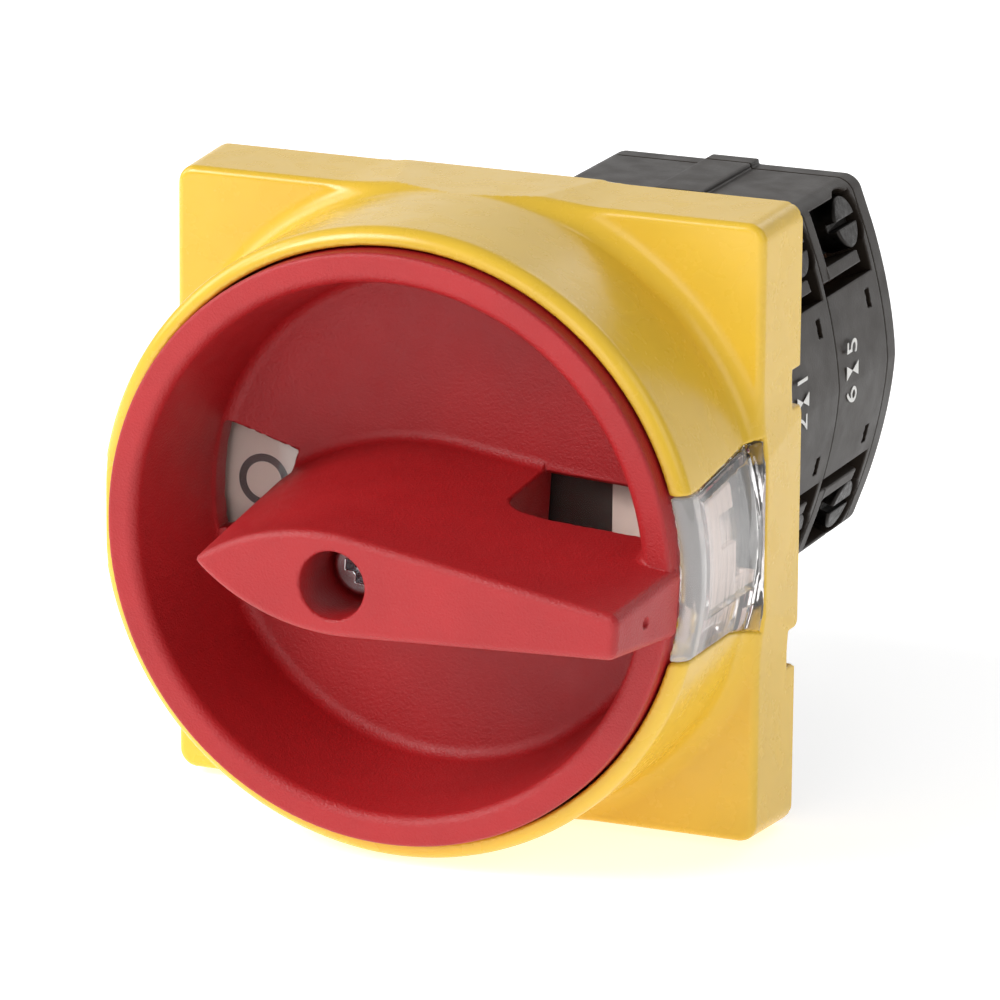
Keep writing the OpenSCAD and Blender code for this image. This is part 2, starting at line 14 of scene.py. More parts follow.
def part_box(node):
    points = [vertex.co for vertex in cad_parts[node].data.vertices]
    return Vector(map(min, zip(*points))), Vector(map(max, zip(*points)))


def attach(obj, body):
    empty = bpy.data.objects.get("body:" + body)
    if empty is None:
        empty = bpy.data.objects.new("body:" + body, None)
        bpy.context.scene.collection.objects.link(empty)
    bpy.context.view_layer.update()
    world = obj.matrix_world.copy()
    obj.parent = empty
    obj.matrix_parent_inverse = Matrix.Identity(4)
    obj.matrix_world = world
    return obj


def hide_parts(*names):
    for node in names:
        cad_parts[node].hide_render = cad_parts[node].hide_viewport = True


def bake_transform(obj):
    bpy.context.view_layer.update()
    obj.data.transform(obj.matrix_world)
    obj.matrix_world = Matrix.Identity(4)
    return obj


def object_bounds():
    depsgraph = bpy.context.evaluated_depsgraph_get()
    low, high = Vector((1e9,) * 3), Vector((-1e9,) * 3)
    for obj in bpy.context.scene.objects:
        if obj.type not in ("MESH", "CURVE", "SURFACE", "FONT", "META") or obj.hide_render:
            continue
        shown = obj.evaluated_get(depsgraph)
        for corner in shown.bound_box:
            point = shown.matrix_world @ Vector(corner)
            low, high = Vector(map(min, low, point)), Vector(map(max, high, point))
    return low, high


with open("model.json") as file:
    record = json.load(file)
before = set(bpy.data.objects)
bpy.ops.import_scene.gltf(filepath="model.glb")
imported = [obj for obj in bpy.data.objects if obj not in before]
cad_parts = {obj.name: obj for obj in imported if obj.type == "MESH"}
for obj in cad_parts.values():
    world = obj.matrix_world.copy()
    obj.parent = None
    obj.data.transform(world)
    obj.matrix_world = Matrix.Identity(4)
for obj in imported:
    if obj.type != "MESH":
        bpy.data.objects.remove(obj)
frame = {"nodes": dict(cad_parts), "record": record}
cad_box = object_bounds()

MM = 0.001


# ------------------------------------------------------------------ sizes, in millimetres

def node_span(node, axis):
    """Lowest and highest coordinate of a CAD node along an axis, in millimetres."""
    low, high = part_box(node)
    return low[axis] / MM, high[axis] / MM


PLATE_FRONT = -10.0
PLATE_HALF = node_span("panel_gasket", 0)[1] + 3.0
PLATE_WALL = 2.2
PLATE_DRAFT = 0.4
PLATE_FILLET = 2.6
COLLAR_R = 33.4
COLLAR_FRONT = node_span("front_plate", 1)[0]
COLLAR_BORE = 31.55
COLLAR_NOSE = 1.6

GRIP_FRONT = node_span("handle", 1)[0]
RIM_FRONT = -30.7
RIM_R = 31.3
RIM_BACK = -25.2
DISH_FLOOR = -14.7
DISH_BACK = -12.7
DISH_FLOOR_R = 26.2
HUB_R = 6.42
REST_TURN = math.radians(3.5)

COVER_FRONT, COVER_BACK = -12.3, -10.9
COVER_R, COVER_WALL_R = 31.4, 29.6
COVER_WALL_FRONT = -24.4
HUB_HOLE_R = 6.9
LEGEND_FRONT, LEGEND_BACK = -10.8, PLATE_FRONT
TAB_FRONT = node_span("legend_disc", 1)[0]
TAB_BACK = -15.7
TAB_INNER_R, TAB_OUTER_R = 31.1, 31.9
LEG_LOW, LEG_HIGH = -4.4, -3.2
LUG_HALF = 7.4
LUG_ROOM_R = 32.3
MARK_R = 22.3
BLOCK_BACK = -9.7

FLANGE_Y = node_span("mounting_flange", 1)[0]
LATCH_Y = node_span("latch_housing", 1)[0]
UNIT_Y = {"front": node_span("contact_housing_front", 1)[0], "rear": node_span("contact_housing_rear", 1)[0]}
UNIT_LENGTH = UNIT_Y["rear"] - UNIT_Y["front"]
COVER_Y, BODY_END = node_span("rear_cover", 1)
TOP_HALF_W, BODY_HALF_H = 14.6, 20.3
SIDE_HALF_W, SIDE_HALF_H = 19.5, 7.0
TIE_Z = 16.8
SCREW_S, SCREW_DY = 4.1, 11.6
POCKET_DEPTH = 6.0
SHAFT_BORE_R = 6.3

SLANT = np.array([SIDE_HALF_W - TOP_HALF_W, SIDE_HALF_H - BODY_HALF_H])
SLANT_T = SLANT / np.linalg.norm(SLANT)
SLANT_N = np.array([-SLANT_T[1], SLANT_T[0]])


# ------------------------------------------------------------------ distance fields

def meet(a, b, r=0.0):
    """Intersection, with its convex edge rounded to radius r."""
    return np.minimum(np.maximum(a, b), -r) + np.hypot(np.maximum(a + r, 0), np.maximum(b + r, 0))


def join(a, b, r=0.0):
    """Union, with a concave fillet of radius r."""
    return -meet(-a, -b, r)


def cut(a, b, r=0.0):
    """a without b, with the edge rounded to radius r."""
    return meet(a, -b, r)


def slab(v, low, high):
    return np.maximum(low - v, v - high)


def disc(x, z, r, cx=0.0, cz=0.0):
    return np.hypot(x - cx, z - cz) - r


def ring(x, z, inner, outer):
    return np.maximum(disc(x, z, outer), -disc(x, z, inner))


def square(x, z, half, r):
    u, v = np.abs(x) - half + r, np.abs(z) - half + r
    return np.hypot(np.maximum(u, 0), np.maximum(v, 0)) + np.minimum(np.maximum(u, v), 0) - r


def ramp(v, start, slope):
    """0 before start, then rising with the slope."""
    return np.maximum(v - start, 0) * slope


# ------------------------------------------------------------------ meshing

def gradient(field, p, h=0.01):
    """Slope of a field at points p, by central differences."""
    out = np.empty_like(p)
    for axis in range(3):
        step = np.zeros(3)
        step[axis] = h
        out[:, axis] = (field(*(p + step).T) - field(*(p - step).T)) / (2 * h)
    return out


def settle(field, p, reach, rounds=2):
    """Moves points onto the field's surface, no further than reach, and gives their normals too."""
    for _ in range(rounds):
        slope = gradient(field, p)
        size = np.maximum((slope ** 2).sum(1), 0.05)
        move = -(field(*p.T) / size)[:, None] * slope
        length = np.linalg.norm(move, axis=1)[:, None]
        p = p + move * np.minimum(1, reach / np.maximum(length, 1e-9))
    slope = gradient(field, p)
    return p, slope / np.maximum(np.linalg.norm(slope, axis=1)[:, None], 1e-9)


def surface_net(field, low, high, step):
    """Points and quads of the surface where the field is zero, by surface nets."""
    grids = [np.arange(a - 1.5 * step, b + 2.5 * step, step) for a, b in zip(low, high)]
    shape = tuple(len(g) for g in grids)
    sparse = np.meshgrid(*[g.astype(np.float32) for g in grids], indexing="ij", sparse=True)
    values = np.broadcast_to(field(*sparse), shape)
    inside = values < 0
    corners = [(i, j, k) for i in (0, 1) for j in (0, 1) for k in (0, 1)]
    count = sum(
        inside[i:shape[0] - 1 + i, j:shape[1] - 1 + j, k:shape[2] - 1 + k].astype(np.int8)
        for i, j, k in corners
    )
    mixed = (count > 0) & (count < 8)
    cells = np.argwhere(mixed)
    index = np.full(mixed.shape, -1, np.int64)
    index[mixed] = np.arange(len(cells))
    total = np.zeros((len(cells), 3))
    hits = np.zeros(len(cells))
    for corner in corners:
        for axis in range(3):
            if corner[axis]:
                continue
            other = list(corner)
            other[axis] = 1
            a = values[tuple((cells + corner).T)].astype(float)
            b = values[tuple((cells + other).T)].astype(float)
            crossed = (a < 0) != (b < 0)
            share = np.where(crossed, a / np.where(crossed, a - b, 1), 0)
            point = np.tile(np.array(corner, float), (len(cells), 1))
            point[:, axis] = share
            total += point * crossed[:, None]
            hits += crossed
    points = np.array([g[0] for g in grids]) + step * (cells + total / hits[:, None])
    quads = []
    for axis in range(3):
        u, v = (axis + 1) % 3, (axis + 2) % 3
        near = [slice(1, -1)] * 3
        far = [slice(1, -1)] * 3
        near[axis], far[axis] = slice(0, -1), slice(1, None)
        changed = inside[tuple(near)] != inside[tuple(far)]
        node = np.argwhere(changed)
        node[:, u] += 1
        node[:, v] += 1
        eu, ev = np.eye(3, dtype=int)[u], np.eye(3, dtype=int)[v]
        around = [node - eu - ev, node - ev, node, node - eu]
        quad = np.stack([index[tuple(c.T)] for c in around], 1)
        flip = ~inside[tuple(node.T)]
        quad[flip] = quad[flip][:, ::-1]
        quads.append(quad)
    return points, np.concatenate(quads)


def mesh_from(name, points, faces):
    """A Blender mesh from an array of points and one of quads."""
    mesh = bpy.data.meshes.new(name)
    mesh.vertices.add(len(points))
    mesh.vertices.foreach_set("co", np.asarray(points, np.float32).ravel())
    mesh.loops.add(faces.size)
    mesh.loops.foreach_set("vertex_index", faces.ravel().astype(np.int32))
    mesh.polygons.add(len(faces))
    mesh.polygons.foreach_set("loop_start", np.arange(0, faces.size, faces.shape[1], dtype=np.int32))
    mesh.update(calc_edges=True)
    return mesh


def points_of(mesh):
    flat = np.empty(len(mesh.vertices) * 3, np.float32)
    mesh.vertices.foreach_get("co", flat)
    return flat.reshape(-1, 3).astype(float)


def field_mesh(name, field, low, high, step, keep=0.3):
    """Mesh of a field in metres: netted, thinned to a share of its faces and shaded with the true normals."""
    points, quads = surface_net(field, low, high, step)
    points, _ = settle(field, points, step)
    mesh = mesh_from(name, points, quads)
    if keep < 1:
        holder = bpy.data.objects.new(name, mesh)
        bpy.context.collection.objects.link(holder)
        thin = holder.modifiers.new("thin", "DECIMATE")
        thin.ratio = keep
        bpy.context.view_layer.update()
        thinned = bpy.data.meshes.new_from_object(holder.evaluated_get(bpy.context.evaluated_depsgraph_get()))
        bpy.data.objects.remove(holder)
        bpy.data.meshes.remove(mesh)
        mesh = thinned
        mesh.name = name
    points, normals = settle(field, points_of(mesh), 0.3 * step, 1)
    mesh.vertices.foreach_set("co", (points * MM).astype(np.float32).ravel())
    mesh.update()
    mesh.shade_smooth()
    mesh.normals_split_custom_set_from_vertices(normals)
    return mesh


def piece(name, mesh, material, body, slot, *replaced, turn=None):
    """Puts a mesh in the scene as a piece that rides on a body, if one is given, and stands for CAD nodes."""
    obj = bpy.data.objects.new(name, mesh)
    bpy.context.collection.objects.link(obj)
    mesh.materials.clear()
    mesh.materials.append(material)
    if turn is not None:
        mesh.transform(turn)
    if body:
        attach(obj, body)
    if replaced:
        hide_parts(*replaced)
    return obj


# ------------------------------------------------------------------ materials

def material(name, colour, rough, metallic=0.0):
    """A principled material and its node tree, shader and object coordinates in millimetres."""
    mat = bpy.data.materials.new(name)
    mat.use_nodes = True
    tree = mat.node_tree
    shader = tree.nodes["Principled BSDF"]
    shader.inputs["Base Color"].default_value = (*colour, 1)
    shader.inputs["Roughness"].default_value = rough
    shader.inputs["Metallic"].default_value = metallic
    mat.diffuse_color = (*colour, 1)
    place = tree.nodes.new("ShaderNodeTexCoord")
    scale = tree.nodes.new("ShaderNodeVectorMath")
    scale.operation = "SCALE"
    scale.inputs["Scale"].default_value = 1 / MM
    tree.links.new(place.outputs["Object"], scale.inputs[0])
    return mat, tree, shader, scale.outputs[0]


def noise(tree, place, size, detail=2.0, rough=0.5):
    """A noise value whose grains are about size millimetres across."""
    node = tree.nodes.new("ShaderNodeTexNoise")
    node.inputs["Scale"].default_value = 1 / size
    node.inputs["Detail"].default_value = detail
    node.inputs["Roughness"].default_value = rough
    tree.links.new(place, node.inputs["Vector"])
    return node.outputs["Fac"]


def remap(tree, value, low, high, start=0.3, end=0.7):
    node = tree.nodes.new("ShaderNodeMapRange")
    node.inputs["From Min"].default_value = start
    node.inputs["From Max"].default_value = end
    node.inputs["To Min"].default_value = low
    node.inputs["To Max"].default_value = high
    tree.links.new(value, node.inputs["Value"])
    return node.outputs["Result"]


def vary_colour(tree, shader, value, dark, light):
    ramp_node = tree.nodes.new("ShaderNodeValToRGB")
    ramp_node.color_ramp.elements[0].position = 0.3
    ramp_node.color_ramp.elements[1].position = 0.7
    ramp_node.color_ramp.elements[0].color = (*dark, 1)
    ramp_node.color_ramp.elements[1].color = (*light, 1)
    tree.links.new(value, ramp_node.inputs["Fac"])
    tree.links.new(ramp_node.outputs["Color"], shader.inputs["Base Color"])


def bump(tree, shader, value, strength, height):
    """Bump whose full height is given in millimetres."""
    node = tree.nodes.new("ShaderNodeBump")
    node.inputs["Strength"].default_value = strength
    node.inputs["Distance"].default_value = height * MM
    tree.links.new(value, node.inputs["Height"])
    tree.links.new(node.outputs["Normal"], shader.inputs["Normal"])


def scaled(colour, k):
    return tuple(min(1.0, c * k) for c in colour)


def moulded(name, colour, rough, grain, height, spread=0.05, rough_spread=0.05, specular=0.5):
    """Injection-moulded plastic: fine grain in the bump, slow drift in colour and gloss."""
    mat, tree, shader, place = material(name, colour, rough)
    shader.inputs["Specular IOR Level"].default_value = specular
    drift = noise(tree, place, 9.0, 3.0)
    vary_colour(tree, shader, drift, scaled(colour, 1 - spread), scaled(colour, 1 + spread))
    fine = noise(tree, place, grain, 3.0, 0.6)
    rough_value = remap(tree, noise(tree, place, 3.0, 4.0), rough - rough_spread, rough + rough_spread)
    tree.links.new(rough_value, shader.inputs["Roughness"])
    bump(tree, shader, fine, 1.0, height)
    return mat


def metal(name, colour, rough, streak=0.15):
    """Machined or plated metal with fine scratches and patchy gloss."""
    mat, tree, shader, place = material(name, colour, rough, 1.0)
    vary_colour(tree, shader, noise(tree, place, 1.2, 4.0), scaled(colour, 0.82), scaled(colour, 1.06))
    patches = remap(tree, noise(tree, place, 0.6, 5.0), rough * 0.75, rough * 1.4)
    tree.links.new(patches, shader.inputs["Roughness"])
    bump(tree, shader, noise(tree, place, streak, 4.0, 0.7), 1.0, 0.01)
    return mat


def clear_plastic(name):
    """Clear polycarbonate with faint flow streaks, milkier in the thick rim at the front."""
    mat, tree, shader, place = material(name, (0.95, 0.93, 0.92), 0.04)
    depth = tree.nodes.new("ShaderNodeSeparateXYZ")
    tree.links.new(place, depth.inputs[0])
    clarity = remap(tree, depth.outputs["Y"], 0.74, 0.99, -24.7, -23.5)
    tree.links.new(clarity, shader.inputs["Transmission Weight"])
    shader.inputs["IOR"].default_value = 1.5
    stretch = tree.nodes.new("ShaderNodeVectorMath")
    stretch.operation = "MULTIPLY"
    stretch.inputs[1].default_value = (1.0, 1.0, 0.12)
    tree.links.new(place, stretch.inputs[0])
    streaks = noise(tree, stretch.outputs[0], 1.6, 3.0)
    bump(tree, shader, streaks, 0.5, 0.05)
    tree.links.new(remap(tree, streaks, 0.02, 0.11), shader.inputs["Roughness"])
    see = tree.nodes.new("ShaderNodeBsdfTransparent")
    see.inputs["Color"].default_value = (0.85, 0.85, 0.84, 1)
    path = tree.nodes.new("ShaderNodeLightPath")
    mix = tree.nodes.new("ShaderNodeMixShader")
    tree.links.new(path.outputs["Is Shadow Ray"], mix.inputs["Fac"])
    tree.links.new(shader.outputs[0], mix.inputs[1])
    tree.links.new(see.outputs[0], mix.inputs[2])
    tree.links.new(mix.outputs[0], tree.nodes["Material Output"].inputs["Surface"])
    return mat


YELLOW = moulded("yellow_moulding", (0.78, 0.50, 0.045), 0.26, 0.9, 0.006, 0.03)
RED = moulded("red_moulding", (0.42, 0.013, 0.016), 0.42, 0.26, 0.11, 0.06)
BLACK = moulded("black_moulding", (0.026, 0.019, 0.014), 0.44, 0.25, 0.02, 0.12, specular=0.28)
# Off-white legend whose base colour carries a pink cast: the white is its own, the pink is painted reflection
# of the red handle around it.
LEGEND_WHITE_WITH_PAINTED_RED_BOUNCE = moulded("legend_white", (0.80, 0.64, 0.57), 0.38, 0.5, 0.004, 0.03)
CREAM = moulded("white_moulding", (0.78, 0.75, 0.66), 0.40, 0.3, 0.008)
RUBBER = moulded("gasket_rubber", (0.02, 0.02, 0.02), 0.62, 0.4, 0.03)
PRINT_DARK = moulded("dark_print", (0.055, 0.045, 0.045), 0.45, 0.2, 0.004)
PRINT_WHITE = moulded("white_print", (0.80, 0.79, 0.76), 0.50, 0.2, 0.004)
CLEAR = clear_plastic("clear_polycarbonate")
ZINC = metal("zinc_steel", (0.66, 0.67, 0.69), 0.30)
BRIGHT = metal("screw_steel", (0.80, 0.80, 0.82), 0.16)
SHAFT = metal("shaft_steel", (0.56, 0.56, 0.58), 0.34)
SPRING = metal("spring_steel", (0.70, 0.70, 0.72), 0.24)
COPPER = metal("contact_copper", (0.83, 0.50, 0.32), 0.32)
BLACK_STEEL = metal("black_steel", (0.035, 0.032, 0.030), 0.36)


# ------------------------------------------------------------------ front plate

def collar_radius(y):
    return COLLAR_R + ramp(y, COLLAR_FRONT, 0.012)


def opening_field(y, z, grow):
    """Side opening of the collar at 3 o'clock, in Y and Z."""
    top = 8.9 + ramp(y, -25.0, 0.11) + grow
    bottom = -8.5 - ramp(y, -16.4, 0.22) - grow
    return np.maximum(np.maximum(z - top, bottom - z), y + 9.6 - grow)


def front_outside(x, y, z):
    """Outer surface of the plate and its collar, which the clear block follows too."""
    prism_half = PLATE_HALF + PLATE_DRAFT * np.clip(1 + y / 10, 0, 1)
    prism = square(x, z, prism_half, 2.0)
    plate = np.maximum(meet(prism, PLATE_FRONT - y, 0.85), y)
    side_limit = square(x, z, PLATE_HALF + PLATE_DRAFT + 0.2, 2.2)
    collar = meet(disc(x, z, collar_radius(y)), COLLAR_FRONT - y, COLLAR_NOSE)
    collar = np.maximum(collar, y + 1)
    return np.maximum(join(plate, collar, PLATE_FILLET), side_limit)


def front_plate_field(x, y, z):
    shell = front_outside(x, y, z)
    shell = cut(shell, np.maximum(disc(x, z, COLLAR_BORE), y - PLATE_FRONT), 0.3)
    shell = np.maximum(shell, -np.maximum(disc(x, z, 29.4), slab(y, -30.0, 1.0)))
    cavity = np.maximum(square(x, z, PLATE_HALF - PLATE_WALL, 2.0), PLATE_FRONT + PLATE_WALL - y)
    shell = cut(shell, cavity, 0.25)
    opening = np.maximum(opening_field(y, z, 0.0), 29.0 - x)
    shell = cut(shell, opening, 0.35)
    window = np.maximum(np.abs(z) - LUG_HALF - 0.1, slab(y, -11.0, 1.0))
    window = np.maximum(slab(x, 28.0, LUG_ROOM_R), window)
    shell = cut(shell, window, 0.15)
    flat = np.maximum(np.maximum(x + COLLAR_R - 0.8, np.abs(z) - 5.8), y - PLATE_FRONT - 0.2)
    shell = cut(shell, flat, 0.15)
    notch_side = np.maximum(np.abs(np.abs(z) - 14.0) - 2.0, PLATE_HALF - PLATE_WALL - 0.5 - np.abs(x))
    notch = np.maximum(notch_side, -1.9 - y)
    return cut(shell, notch, 0.3)


# ------------------------------------------------------------------ handle

def grip_field(x, y, z):
    """Grip with its point towards -X: two arcs at the nose, straight flanks to a square end."""
    deep = (y - GRIP_FRONT) / (DISH_FLOOR - GRIP_FRONT)
    wide_x = -0.5
    half_w = 5.35 + 2.35 * deep
    tip_x = -15.6 - 3.9 * deep
    end_x = 30.9 + 0.06 * (y - GRIP_FRONT)
    end_half = 2.3 + 2.7 * deep
    reach = wide_x - tip_x
    arc_r = (reach ** 2 + half_w ** 2) / (2 * half_w)
    across = np.hypot(z, 0.35) + arc_r - half_w
    along = x - wide_x
    end_across = end_half + arc_r - half_w
    end_along = end_x - wide_x
    lean = np.arctan2(end_along, end_across) - np.arccos(arc_r / np.hypot(end_along, end_across))
    arc = np.hypot(along, across) - arc_r
    flank = along * np.sin(lean) + across * np.cos(lean) - arc_r
    side = np.where(along * np.cos(lean) - across * np.sin(lean) < 0, arc, flank)
    outline = meet(side, x - end_x, 1.0)
    gate = np.hypot(np.hypot(y + 36.9, z), x - end_x) - 0.55
    return cut(meet(outline, GRIP_FRONT - y, 0.85), gate, 0.1)


def tunnel_field(x, y, z):
    """Shackle tunnel under the grip, right through from one side of the dish to the other."""
    ceiling = -26.3 + ramp(x, 16.0, 0.22)
    hollow = meet(10.7 - x, ceiling - y, 3.0)
    hollow = np.maximum(hollow, y + 12.0)
    below_floor = np.maximum(np.abs(z) - 6.5, x - 31.0)
    in_dish = np.maximum(y - DISH_FLOOR + 0.08, x - 28.4)
    return np.maximum(hollow, np.minimum(below_floor, np.maximum(in_dish, np.abs(z) - 12.0)))


def handle_field(x, y, z):
    r = np.hypot(x, z)
    rim = meet(r - RIM_R, slab(y, RIM_FRONT, RIM_BACK), 0.45)
    wall_out = 27.9 + ramp(-y, -DISH_BACK, 0.1)
    bowl = meet(r - wall_out, slab(y, RIM_FRONT, DISH_BACK), 0.5)
    wall_in = DISH_FLOOR_R + ramp(-y, -DISH_FLOOR, 0.125)
    cavity = meet(r - wall_in, y - DISH_FLOOR, 1.3)
    dish = cut(np.minimum(rim, bowl), cavity, 1.1)
    grip = grip_field(x, y, z)
    inner_grip = np.maximum(grip, np.maximum(r - 29.0, y - DISH_FLOOR - 1.0))
    outer_grip = meet(grip, y + 29.15, 0.3)
    fillet = 0.15 + 0.9 * np.clip((29.0 - r) / 1.5, 0, 1)
    solid = join(dish, inner_grip, fillet)
    solid = np.minimum(solid, outer_grip)
    hub = np.maximum(r - HUB_R, slab(y, DISH_FLOOR, -2.0))
    solid = np.minimum(solid, hub)
    hole = np.maximum(r - 3.55, slab(y, GRIP_FRONT - 2, -33.2))
    solid = cut(solid, hole, 0.25)
    socket = np.maximum(np.maximum(np.abs(x), np.abs(z)) - 2.55, slab(y, -31.0, 0.0))
    solid = np.maximum(solid, -socket)
    solid = cut(solid, tunnel_field(x, y, z), 0.25)
    window = np.maximum(np.maximum(r - 26.1, 17.6 - r), slab(y, DISH_FLOOR - 1, 0.0))
    window = np.maximum(window, np.abs(z) * math.cos(math.radians(13)) + x * math.sin(math.radians(13)))
    return cut(solid, window, 0.12)


# ------------------------------------------------------------------ clear cover and legend

def clear_cover_field(x, y, z):
    r = np.hypot(x, z)
    floor = meet(r - COVER_R, slab(y, COVER_FRONT, COVER_BACK), 0.25)
    wall = meet(np.maximum(r - COVER_R, COVER_WALL_R - r), slab(y, COVER_WALL_FRONT, COVER_BACK), 0.3)
    cup = join(floor, wall, 0.8)
    outside = front_outside(x, y, z)
    inner_r = np.where(y < COVER_WALL_FRONT, COLLAR_BORE, 29.7)
    block = np.maximum(np.maximum(outside, inner_r - r), y - BLOCK_BACK)
    block = meet(block, np.maximum(opening_field(y, z, -0.12), 29.7 - x), 0.3)
    solid = np.minimum(cup, block)
    hollow_span = slab(z, -4.8, 7.2 + ramp(y, -24.0, 0.1))
    hollow = np.maximum(ring(x, z, 30.8, LUG_ROOM_R), np.maximum(hollow_span, -24.0 - y))
    disc_room = np.maximum(ring(x, z, 0.0, LUG_ROOM_R), np.maximum(np.abs(z) - 6.7, -10.9 - y))
    hollow = np.maximum(np.minimum(hollow, disc_room), 25.0 - x)
    solid = cut(solid, hollow, 0.2)
    return np.maximum(solid, HUB_HOLE_R - r)


def legend_field(x, y, z):
    r = np.hypot(x, z)
    plate = meet(r - 30.4, slab(y, LEGEND_FRONT, LEGEND_BACK), 0.1)
    tab_top = 6.5 + ramp(y, TAB_FRONT, 0.1)
    tab = np.maximum(slab(z, LEG_LOW, tab_top), slab(y, TAB_FRONT, TAB_BACK))
    leg = np.maximum(slab(z, LEG_LOW, LEG_HIGH), slab(y, TAB_BACK - 0.5, LEGEND_BACK))
    upright = meet(ring(x, z, TAB_INNER_R, TAB_OUTER_R), np.minimum(tab, leg), 0.15)
    root = np.maximum(slab(z, LEG_LOW, LEG_HIGH), slab(y, LEGEND_FRONT, LEGEND_BACK))
    root = np.maximum(ring(x, z, 28.0, TAB_OUTER_R), root)
    solid = np.minimum(plate, np.maximum(np.minimum(upright, root), 25.0 - x))
    notch = np.maximum(slab(z, 1.3, 4.7), np.maximum(slab(y, -19.6, TAB_BACK + 1), 30.6 - x))
    shackle_room = np.maximum(slab(x, 9.0, 17.2), np.abs(z) - 6.6)
    return np.maximum(cut(solid, np.minimum(notch, shackle_room), 0.1), HUB_HOLE_R - r)


def ring_mark(x, y, z):
    band = np.abs(disc(x, z, 2.45, -MARK_R, 0.3)) - 0.42
    return meet(band, slab(y, LEGEND_FRONT - 0.05, LEGEND_FRONT + 0.05), 0.03)


def bar_mark(x, y, z):
    bar = np.maximum(np.abs(x) - 0.45, np.abs(z - MARK_R) - 2.85)
    return meet(bar, slab(y, LEGEND_FRONT - 0.05, LEGEND_FRONT + 0.05), 0.03)


# ------------------------------------------------------------------ switch body

def body_outline(x, z, bulge=True):
    """Eight-sided section with soft corners and slightly bowed sides."""
    ax, az = np.abs(x), np.abs(z)
    side = ax - SIDE_HALF_W - (0.15 - az ** 2 / 300.0 if bulge else 0)
    slant = (ax - TOP_HALF_W) * SLANT_N[0] + (az - BODY_HALF_H) * SLANT_N[1]
    return meet(meet(side, slant, 2.6), az - BODY_HALF_H, 1.4)


def body_slab(x, y, z, low, high, edge=0.22):
    body = meet(body_outline(x, z), slab(y, low, high), edge)
    rib = meet(meet(np.abs(x) - 2.85, np.abs(z) - BODY_HALF_H - 0.6, 0.25), slab(y, low, high), edge)
    return join(body, rib, 0.2)


def latch_housing_field(x, y, z):
    body = body_slab(x, y, z, LATCH_Y, UNIT_Y["front"])
    hollow = np.maximum(disc(x, z, 13.2), slab(y, LATCH_Y - 1, UNIT_Y["front"] - 2.5))
    body = np.maximum(body, -hollow)
    return np.maximum(body, -disc(x, z, SHAFT_BORE_R))


def contact_housing_field(y0):
    """Field of one contact unit that starts at y0."""
    def field(x, y, z):
        ax, az = np.abs(x), np.abs(z)
        down = (ax - TOP_HALF_W) * SLANT_T[0] + (az - BODY_HALF_H) * SLANT_T[1]
        out = (ax - TOP_HALF_W) * SLANT_N[0] + (az - BODY_HALF_H) * SLANT_N[1]
        body = body_slab(x, y, z, y0, y0 + UNIT_LENGTH)
        open_out = -POCKET_DEPTH - out
        pocket = np.maximum(slab(down, 1.0, 10.4), slab(y, y0 + 2.2, y0 + UNIT_LENGTH - 1.2))
        pocket = np.maximum(meet(pocket, open_out, 0.3), open_out)
        round_room = np.maximum(np.hypot(down - SCREW_S, y - y0 - SCREW_DY) - 3.75, open_out)
        channel = np.maximum(np.maximum(slab(down, 8.9, 10.4), slab(y, y0 - 0.5, y0 + 4)), -2.5 - out)
        body = cut(body, np.minimum(np.minimum(pocket, round_room), channel), 0.2)
        barrier = np.maximum(slab(down, 7.4, 8.9), slab(y, y0 + 1.8, y0 + 11.6))
        barrier = meet(barrier, slab(out, -5.0, -0.05), 0.2)
        body = join(body, barrier, 0.15)
        cam_room = np.maximum(disc(x, z, 7.7), slab(y, y0 - 1, y0 + 13))
        contact_room = np.maximum(np.maximum(slab(ax, 5, 18.2), az - 7.2), slab(y, y0 - 1, y0 + 13))
        body = np.maximum(body, -np.minimum(cam_room, contact_room))
        body = np.maximum(body, -disc(x, z, SHAFT_BORE_R))
        notch_y = y0 + UNIT_LENGTH - 3.75
        side_slot = np.maximum(slab(az, 6.8, 8.8), 17.6 - ax)
        side_slot = np.maximum(slab(y, notch_y - 0.55, notch_y + 0.55), side_slot)
        return np.maximum(body, -side_slot)
    return field


def rear_cover_field(x, y, z):
    body = body_slab(x, y, z, COVER_Y, BODY_END + 0.6)
    body = meet(body, y - BODY_END, 0.6)
    for side in (-1, 1):
        head_room = np.maximum(disc(x, z, 3.3, 0, side * TIE_Z), COVER_Y + 1.2 - y)
        body = cut(body, head_room, 0.2)
    panel = np.maximum(square(x, z, 10.5, 1.5), BODY_END - 0.35 - y)
    return cut(body, panel, 0.12)


def mounting_flange_field(x, y, z):
    neck_y = FLANGE_Y + 4.0
    plate = meet(square(x, z, 22.5, 4.0), slab(y, FLANGE_Y, neck_y), 0.5)
    neck = np.maximum(body_outline(x / 0.9, z / 0.9) * 0.9, slab(y, neck_y - 1, LATCH_Y - 3))
    body = join(plate, neck, 0.8)
    body = np.minimum(body, body_slab(x, y, z, LATCH_Y - 4, LATCH_Y))
    body = np.maximum(body, -np.maximum(disc(x, z, 8.5), y - LATCH_Y + 4))
    body = np.maximum(body, -disc(x, z, SHAFT_BORE_R))
    screw = np.maximum(disc(np.abs(x), np.abs(z), 1.85, 18, 18), slab(y, FLANGE_Y - 1, LATCH_Y - 3))
    nut = np.maximum(disc(x, np.abs(z), 3.6, 0, TIE_Z), slab(y, FLANGE_Y - 1, FLANGE_Y + 3.4))
    return cut(body, np.minimum(screw, nut), 0.2)


# ------------------------------------------------------------------ screws, drawn with the head towards +Z

def slotted_head(x, y, z):
    head = meet(np.hypot(x, y) - 3.0, slab(z, -3.3, -0.25), 0.35)
    shank = np.maximum(np.hypot(x, y) - 1.7, slab(z, -8.2, -3.0))
    slot = np.maximum(np.abs(x) - 0.45, -1.5 - z)
    return cut(np.minimum(head, shank), slot, 0.08)


